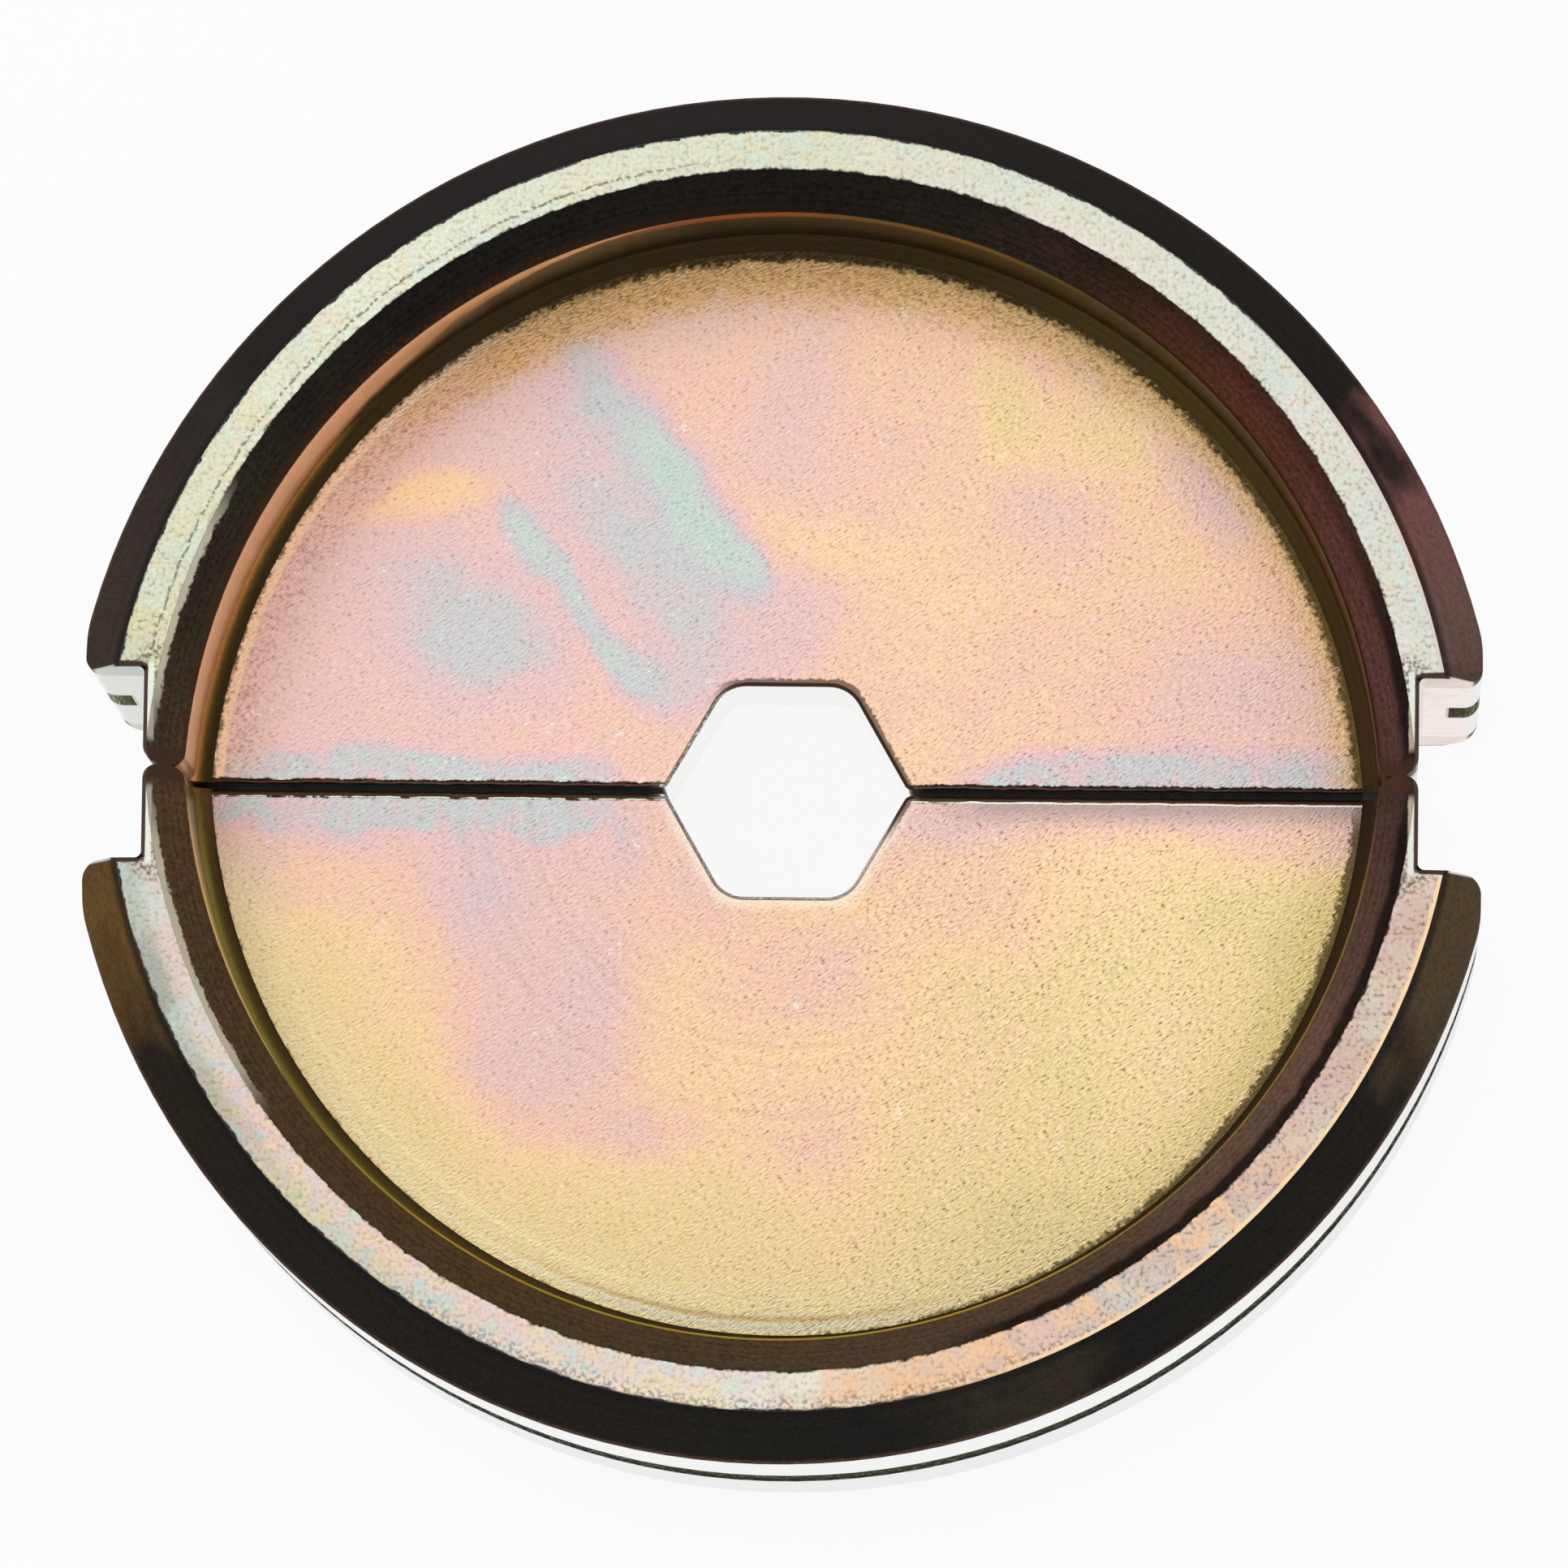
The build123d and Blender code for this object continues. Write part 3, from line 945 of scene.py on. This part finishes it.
# %% [markdown]
# The inner slope
#
# The inner slope is painted dark too, as painted reflection, with clearer turning lines. At the
# right a black stripe of painted reflection follows the rim face, and a thin yellow lip where the
# slope meets the wall at the bottom is a painted highlight; at the upper right the lip is painted
# dark. Stripe and lip are steps of the radius, and bands of the turn say how far round they go.

# %% The inner slope
# Painted reflection: the dark and brown that the inner slope mirrors.
inner_slope_reflection_colours = (
    (at(-180), paint(88, 72, 54)),
    (at(-120), paint(82, 72, 50)),
    (at(-90), paint(80, 72, 58)),
    (at(-60), paint(84, 74, 66)),
    (at(-30), paint(102, 87, 80)),
    (at(-4), paint(74, 62, 58)),
    (at(12), paint(92, 68, 68)),
    (at(40), paint(88, 56, 44)),
    (at(66), paint(46, 41, 37)),
    (at(84), paint(33, 32, 29)),
    (at(130), paint(33, 32, 30)),
    (at(165), paint(58, 54, 44)),
    (at(180), paint(78, 66, 54)),
)
inner_slope = ramp(rim_ramp_place, inner_slope_reflection_colours)
# Painted reflection: a black stripe beside the rim face at the right.
black_stripe = rise(radius + worn, face_inner_radius - 0.46, face_inner_radius - 0.26)
black_turns = band(turn, 2, 80, 2) * (0.35 + rise(turn, 30, 12) * 0.55)
black_turns = black_turns + band(turn, -72, -4, 5) * 0.9
inner_slope = coat(inner_slope, black_stripe * black_turns, paint(28, 27, 25))
inner_slope = shade(inner_slope, turning * 1.5 + fine * 2.2 - 0.40)
brown_rag = rise(radius + (fine - 0.5) * 1.2, wall_radius + 0.30, wall_radius - 0.05)
inner_slope = coat(inner_slope, brown_rag * rise(turn, 80, 130) * 0.7, paint(96, 64, 40))
# Painted highlight: a thin yellow lip at the bottom; at the upper right the lip is painted dark.
slope_lip = rise(radius, wall_radius + 0.09, wall_radius + 0.03)
lip_turns = band(turn, -140, -55, 12) + band(turn, -50, -10, 5) * 0.35
inner_slope = coat(inner_slope, slope_lip * lip_turns, paint(206, 186, 78))
inner_slope = coat(inner_slope, slope_lip * band(turn, 2, 66, 8), paint(62, 46, 28))
print("nodes with the inner slope:", len(tree.nodes))

# %% [markdown]
# The wall and its corner
#
# The upright wall mirrors the light at its top and the shade at its foot. It is salmon and
# gold on the left, where the light reaches deep, orange brown at the top, and olive at the
# right. Its foot is a narrow slanted corner. True mirroring would need the photograph's own
# studio, so two ramps over the wall's depth paint the fall of the light, one for each half.

# %% Colours of the wall
upper_wall_colours = (
    (0.00, paint(255, 206, 158)),
    (0.56, paint(255, 202, 148)),
    (0.63, paint(236, 168, 108)),
    (0.70, paint(172, 122, 62)),
    (0.80, paint(116, 88, 38)),
    (0.90, paint(76, 61, 26)),
    (1.00, paint(60, 47, 22)),
)
lower_wall_colours = (
    (0.00, paint(236, 206, 116)),
    (0.14, paint(222, 194, 98)),
    (0.26, paint(156, 140, 62)),
    (0.55, paint(152, 145, 66)),
    (0.78, paint(84, 74, 36)),
    (1.00, paint(62, 50, 26)),
)
print("colours on the wall:", len(upper_wall_colours) + len(lower_wall_colours))

# %% [markdown]
# The fall of the light on the wall
#
# The fall is the depth under the wall's upper edge. The slanted corner adds to it by its radius,
# as it faces up and would otherwise be too light. The light reaches deepest at the upper left.

# %% The wall's colour
corner_weight = 6.0
shallow_light = 0.3
extra_light = 6.6
lower_light = 8.0
fall = wall_height - height + (wall_radius - radius) * corner_weight
light_depth = shallow_light + extra_light * rise(uneven_turn, 100, 152)
upper_fall = fall / light_depth
upper_wall = ramp(upper_fall, upper_wall_colours)
# Painted shade: the upper wall darker at its right and under its top, the lower wall at its right.
right_wall = coat(paint(78, 66, 32), rise(turn, 46, 14), paint(70, 54, 30))
upper_wall = coat(upper_wall, rise(uneven_turn, 88, 60), right_wall)
upper_wall = coat(upper_wall, band(turn, 66, 118, 22) * rise(fall, 0.4, 1.6), paint(54, 44, 22))
lower_fall = fall / lower_light
lower_wall = ramp(lower_fall, lower_wall_colours)
lower_wall = coat(lower_wall, rise(turn, -120, -80) * 0.95, paint(52, 42, 26))
lower_wall = coat(lower_wall, rise(turn, -168, -178) * 0.7, paint(120, 80, 48))
wall = coat(lower_wall, in_upper, upper_wall)
wall_lines = lines(fall * 1.3 + cloud_b * 2.0)
wall = shade(wall, 0.33 + wall_lines * 0.6 + turning * 0.4 + fine * 0.34)
print("nodes with the wall:", len(tree.nodes))

# %% [markdown]
# The wall joins the bright surfaces
#
# The wall lies lower than the inner slope, and a step of the height would find it. But the
# outside reaches just as low, so the step counts only inside the cup that the rim forms.

# %% The wall on the bright surfaces
cup_radius = wall_radius + 0.6
in_cup = rise(radius, cup_radius + 0.1, cup_radius)
is_low = rise(height, wall_height + crisp, wall_height - crisp) * in_cup
bright_colour = coat(bright_colour, is_low, wall)
print("nodes with the low part:", len(tree.nodes))

# %% [markdown]
# The dark surfaces together
#
# Both slopes and the shaded part of the wall share one dark shader. The middle of the rim face
# parts the slopes, and there nothing is dark, so a soft step is enough. At the far left the bright
# face of the real die is a little wider, so a narrow strip of the slope takes its tone there.

# %% The dark surfaces together
is_outer = rise(radius, rim_middle - 0.1, rim_middle + 0.1)
dark_colour = coat(inner_slope, is_outer, outer_slope)
wall_shade = coat(paint(102, 76, 38), rise(turn, 20, 56), paint(92, 82, 52))
wall_shade = coat(wall_shade, rise(turn, 66, 88), paint(88, 86, 68))
# Painted highlight: a thin orange and gold line of reflected light along the top of the shaded wall.
wall_top = rise(fall, 1.1, 0.6) * rise(turn, 56, 76)
wall_top_tone = coat(paint(150, 126, 60), rise(turn, 82, 92), paint(200, 124, 76))
wall_shade = coat(wall_shade, wall_top, wall_top_tone)
wall_shade = shade(wall_shade, 0.6 + wall_lines * 0.8)
dark_colour = coat(dark_colour, is_low, wall_shade)
dark_colour = coat(dark_colour, near_tip * 0.8, paint(90, 70, 58))
left_lip = rise(radius + worn, face_inner_radius - 0.25, face_inner_radius - 0.17) * wide_turns
dark_colour = coat(dark_colour, left_lip * 0.95 * (1 - is_outer), paint(252, 255, 232))
# The lugs' painted highlight runs on over the dark slope.
dark_colour = coat(dark_colour, lug_highlight, lug_highlight_tone)
print("nodes with the dark surfaces:", len(tree.nodes))

# %% [markdown]
# Three shaders for the steel
#
# Plated steel is a metal with a soft gloss. The web is blasted and matt, the rim faces and the
# outside are turned and brighter, and the slopes and the shaded part of the wall are painted dark,
# as painted reflection and shade, with little shine where they are seen from the side. One shader
# could do this with a mask on every socket, but three keep each finish by itself. The relief is at
# most a few hundredths of a millimetre high, so it is bump and not geometry. The dark surfaces
# have none, because it wouldn't show on them.

# %% The shaders
relief_strength = 0.6
relief_unit = 0.01 * MM
dash_relief = 3.0
grain_relief = 1.6
bright_metallic = 0.85
dark_metallic = 1.0
bright_shine = 1.0
dark_shine = 0.5


def relief(bumps):
    """The lay of a surface, from its bumps given in hundredths of a millimetre."""
    inputs = {"Strength": relief_strength, "Distance": relief_unit, "Height": bumps}
    return bumps.node("ShaderNodeBump", {}, inputs)


def metal(colour, roughness, metallic, edge_shine, **lay):
    """A metal shader. The edge shine tints what it mirrors where it is seen from the side."""
    return colour.node("ShaderNodeBsdfPrincipled", {}, {
        "Base Color": colour,
        "Metallic": metallic,
        "Roughness": roughness,
        "Specular Tint": (edge_shine, edge_shine, edge_shine, 1),
        **lay,
    })


is_side = rise(height, side_height + 0.02, side_height - 0.02) * is_outer
uneven = fine * 0.14
web_roughness = (0.36 + uneven) * (1 - bore_shine * 0.9)
bright_roughness = (0.26 + uneven) * (1 - is_side * 0.5)
dark_roughness = 0.30 + uneven
web_lay = relief(dashes * dash_relief)
bright_lay = relief(fine * grain_relief)
bright = (bright_metallic, bright_shine)
web_steel = metal(web_colour, web_roughness, *bright, Normal=web_lay)
bright_steel = metal(bright_colour, bright_roughness, *bright, Normal=bright_lay)
dark_steel = metal(dark_colour, dark_roughness, dark_metallic, dark_shine)
print("nodes with the shaders:", len(tree.nodes))

# %% [markdown]
# Choosing between the shaders
#
# On the real die one surface ends and the next begins at a machined edge. Soft masks would smear
# one shader into the next, so these step within a few hundredths of a millimetre, at the sizes
# of the CAD model. A material slot for each surface could do this too, but then every face has
# to be sorted, and one finish on one slot is simpler to reuse.

# %% Choosing between the shaders
is_rim = rise(radius, corner_radius - crisp, corner_radius + crisp)
is_dark_outer = rise(radius, face_outer_radius, face_outer_radius + 0.02)
is_dark_outer = is_dark_outer * rise(height, side_height - 0.02, side_height + 0.01)
is_dark_outer = is_dark_outer * (1 - on_end * rise(height, middle_height, middle_height - 0.5))
is_dark_inner = rise(radius, face_inner_radius, face_inner_radius - 0.02)
is_dark_inner = is_dark_inner * band(height, wall_height, middle_height - crisp, 0.002)
is_shaded_wall = band(height, corner_height, wall_height, crisp) * in_cup * band(turn, -100, 104, 8)
is_dark = is_dark_outer + is_dark_inner + is_shaded_wall
rim_steel = is_dark.node("ShaderNodeMixShader", {}, {0: is_dark, 1: bright_steel, 2: dark_steel})
die_steel = is_rim.node("ShaderNodeMixShader", {}, {0: is_rim, 1: web_steel, 2: rim_steel})
tree.nodes.remove(tree.nodes["Principled BSDF"])
tree.links.new(die_steel.socket, tree.nodes["Material Output"].inputs["Surface"])
for half in halves:
    half.material_slots[0].material = steel
print("nodes in the finish:", len(tree.nodes))
